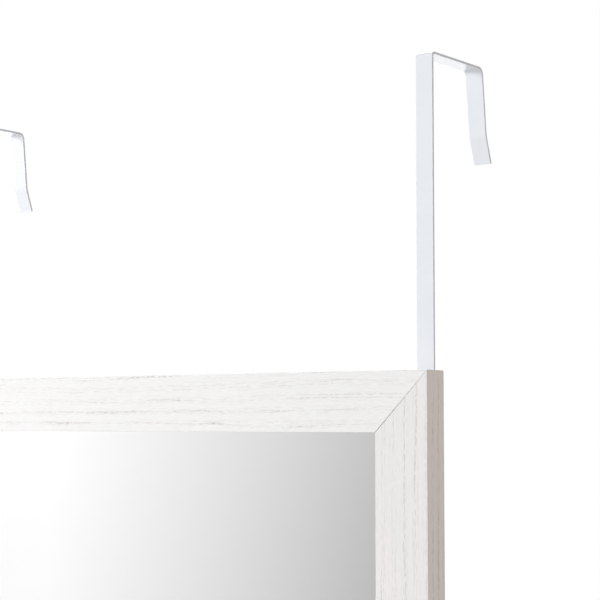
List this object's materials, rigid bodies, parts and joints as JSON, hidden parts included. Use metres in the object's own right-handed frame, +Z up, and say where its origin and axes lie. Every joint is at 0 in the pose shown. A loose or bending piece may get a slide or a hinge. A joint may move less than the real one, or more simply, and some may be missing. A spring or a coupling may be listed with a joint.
{
  "type": "over the door mirror",
  "caption": "Tall mirror in a mitred pale wood-grain frame, hung over a door's top edge by two bent flat steel hooks that slide in the back to set its height.",
  "frame": {"origin": "midway between the two hooks, where the door's top face meets its front face: level with the undersides of the hooks' bars and with the door side of the rubber bumpers", "axes": "+X to the right as seen from the front, +Y from the front towards the door and through it, +Z up"},
  "size_m": [0.355, 0.0733, 1.428],
  "materials": {
    "frame_foil": "white-washed wood-grain finish, satin, on fibreboard moulding",
    "hook_paint": "white powder coat, satin",
    "zinc_steel": "bright zinc plate",
    "insert_brass": "turned",
    "clear_glass": "clear float glass, polished",
    "silvering": "silvered, grey back paint",
    "foam_tape": "closed-cell foam tape, matt",
    "hardboard": "tempered hardboard, smooth face out",
    "bumper_rubber": "moulded rubber, matt"
  },
  "bodies": {
    "mirror_frame": {"top_rail": "frame_foil", "bottom_rail": "frame_foil", "left_stile": "frame_foil", "right_stile": "frame_foil", "top_left_nails": "zinc_steel", "top_right_nails": "zinc_steel", "bottom_left_nails": "zinc_steel", "bottom_right_nails": "zinc_steel", "mirror_glass": "clear_glass", "mirror_silvering": "silvering", "glazing_tape": "foam_tape", "backing_board": "hardboard", "retainer_points": "zinc_steel", "left_hook_screws": "zinc_steel", "left_hook_washers": "zinc_steel", "left_hook_inserts": "insert_brass", "right_hook_screws": "zinc_steel", "right_hook_washers": "zinc_steel", "right_hook_inserts": "insert_brass", "upper_bumpers": "bumper_rubber", "lower_bumpers": "bumper_rubber"},
    "left_hook_slide": {"left_hook": "hook_paint"},
    "right_hook_slide": {"right_hook": "hook_paint"}
  },
  "joints": [
    {"name": "left_hook_height", "type": "slide", "parent": "mirror_frame", "child": "left_hook_slide", "axis": [0, 0, 1], "range_m": [-0.07, 0]},
    {"name": "right_hook_height", "type": "slide", "parent": "mirror_frame", "child": "right_hook_slide", "axis": [0, 0, 1], "range_m": [-0.07, 0]}
  ]
}
